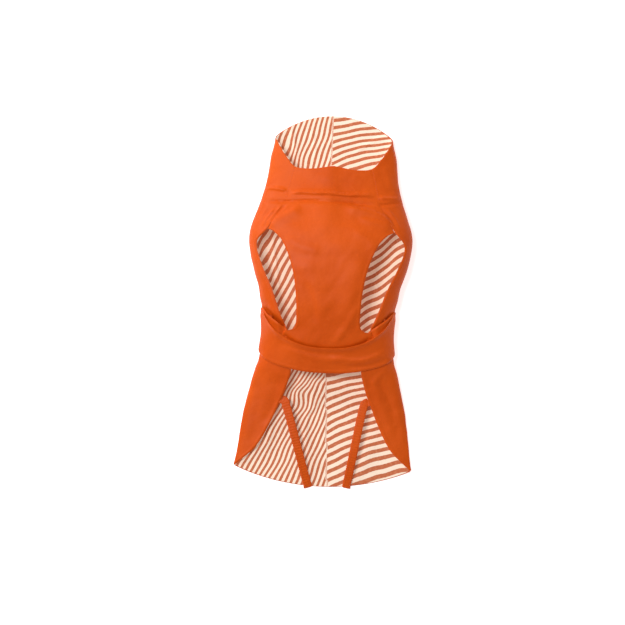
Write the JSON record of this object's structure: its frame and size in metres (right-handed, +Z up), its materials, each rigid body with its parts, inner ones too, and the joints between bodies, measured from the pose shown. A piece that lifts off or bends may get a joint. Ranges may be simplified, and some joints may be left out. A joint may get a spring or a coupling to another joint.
{
  "type": "dog raincoat",
  "caption": "Lined waterproof dog coat lying belly side up, with a funnel collar, leg holes, an opening belly belt and elastic leg straps.",
  "frame": {"origin": "on the floor under the middle of the coat's length and width", "axes": "+Y from the tail hem to the nape, +X to the right across the coat, +Z up from the floor, with the belly side up"},
  "size_m": [0.2376, 0.5, 0.0602],
  "materials": {
    "coated_shell": "smooth coated woven cloth, soft sheen",
    "striped_lining": "matt woven cotton with slanting stripes",
    "binding": "folded woven tape",
    "strap_webbing": "folded coated cloth",
    "elastic": "knitted elastic",
    "hook_and_loop": "napped fastener tape"
  },
  "bodies": {
    "coat": {"back_lining_left": "striped_lining", "back_lining_right": "striped_lining", "back_shell_left": "coated_shell", "back_shell_right": "coated_shell", "belt_front_lining": "striped_lining", "belt_front_shell": "coated_shell", "belt_seam_tape": "binding", "chest_lining": "striped_lining", "chest_shell": "coated_shell", "collar_back_lining_left": "striped_lining", "collar_back_lining_right": "striped_lining", "collar_back_shell": "coated_shell", "collar_side_lining_left": "striped_lining", "collar_side_lining_right": "striped_lining", "collar_side_shell_left": "coated_shell", "collar_side_shell_right": "coated_shell", "leg_hole_binding_left": "binding", "leg_hole_binding_right": "binding", "leg_strap_elastic_left": "elastic", "leg_strap_elastic_right": "elastic", "leg_strap_tab_left": "strap_webbing", "leg_strap_tab_right": "strap_webbing", "leg_strap_under_left": "strap_webbing", "leg_strap_under_right": "strap_webbing", "leg_strap_upper_left": "strap_webbing", "leg_strap_upper_right": "strap_webbing", "loop_patch_left": "hook_and_loop", "loop_patch_right": "hook_and_loop", "nape_lining_left": "striped_lining", "nape_lining_right": "striped_lining", "nape_shell": "coated_shell", "side_flap_lining_left": "striped_lining", "side_flap_lining_right": "striped_lining", "side_flap_shell_left": "coated_shell", "side_flap_shell_right": "coated_shell", "throat_lining": "striped_lining", "throat_shell": "coated_shell"},
    "belt_wing_left": {"belt_wing_shell_left": "coated_shell", "belt_wing_lining_left": "striped_lining", "hook_patch_left": "hook_and_loop"},
    "belt_wing_right": {"belt_wing_shell_right": "coated_shell", "belt_wing_lining_right": "striped_lining", "hook_patch_right": "hook_and_loop"}
  },
  "joints": [
    {"name": "belt_left_open", "type": "hinge", "parent": "coat", "child": "belt_wing_left", "pos_m": [-0.06544, -0.05803, 0.03971], "axis": [-0.003, 0.9791, 0.2033], "range_deg": [0, 135]},
    {"name": "belt_right_open", "type": "hinge", "parent": "coat", "child": "belt_wing_right", "pos_m": [0.06544, -0.05803, 0.03971], "axis": [-0.003, -0.9791, -0.2033], "range_deg": [0, 135]}
  ]
}
